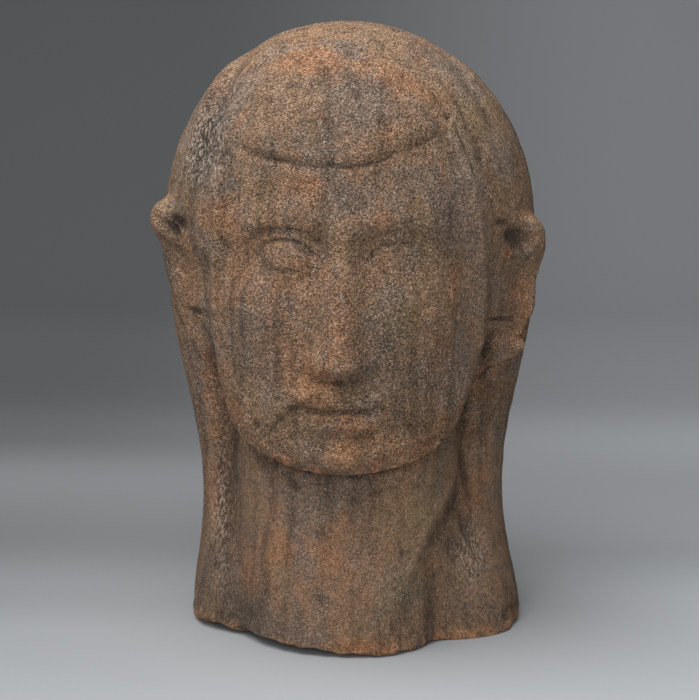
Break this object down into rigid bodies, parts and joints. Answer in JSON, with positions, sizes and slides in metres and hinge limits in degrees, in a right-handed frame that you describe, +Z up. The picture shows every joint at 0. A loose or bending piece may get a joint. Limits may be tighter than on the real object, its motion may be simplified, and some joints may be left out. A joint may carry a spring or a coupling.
{
  "type": "terracotta votive head",
  "caption": "Hollow terracotta votive head of a veiled, bearded man, ending in a broken-off neck that it stands on, open below.",
  "frame": {"origin": "on the floor, under the middle of the head's bounding box", "axes": "+Z up through the crown; the face looks along -Y; the head's right ear is on -X"},
  "size_m": [0.2318, 0.2128, 0.3599],
  "materials": {
    "terracotta": "matte, coarse and gritty, with dirt and pale crusts"
  },
  "bodies": {
    "root": {"votive_head": "terracotta"}
  },
  "joints": []
}
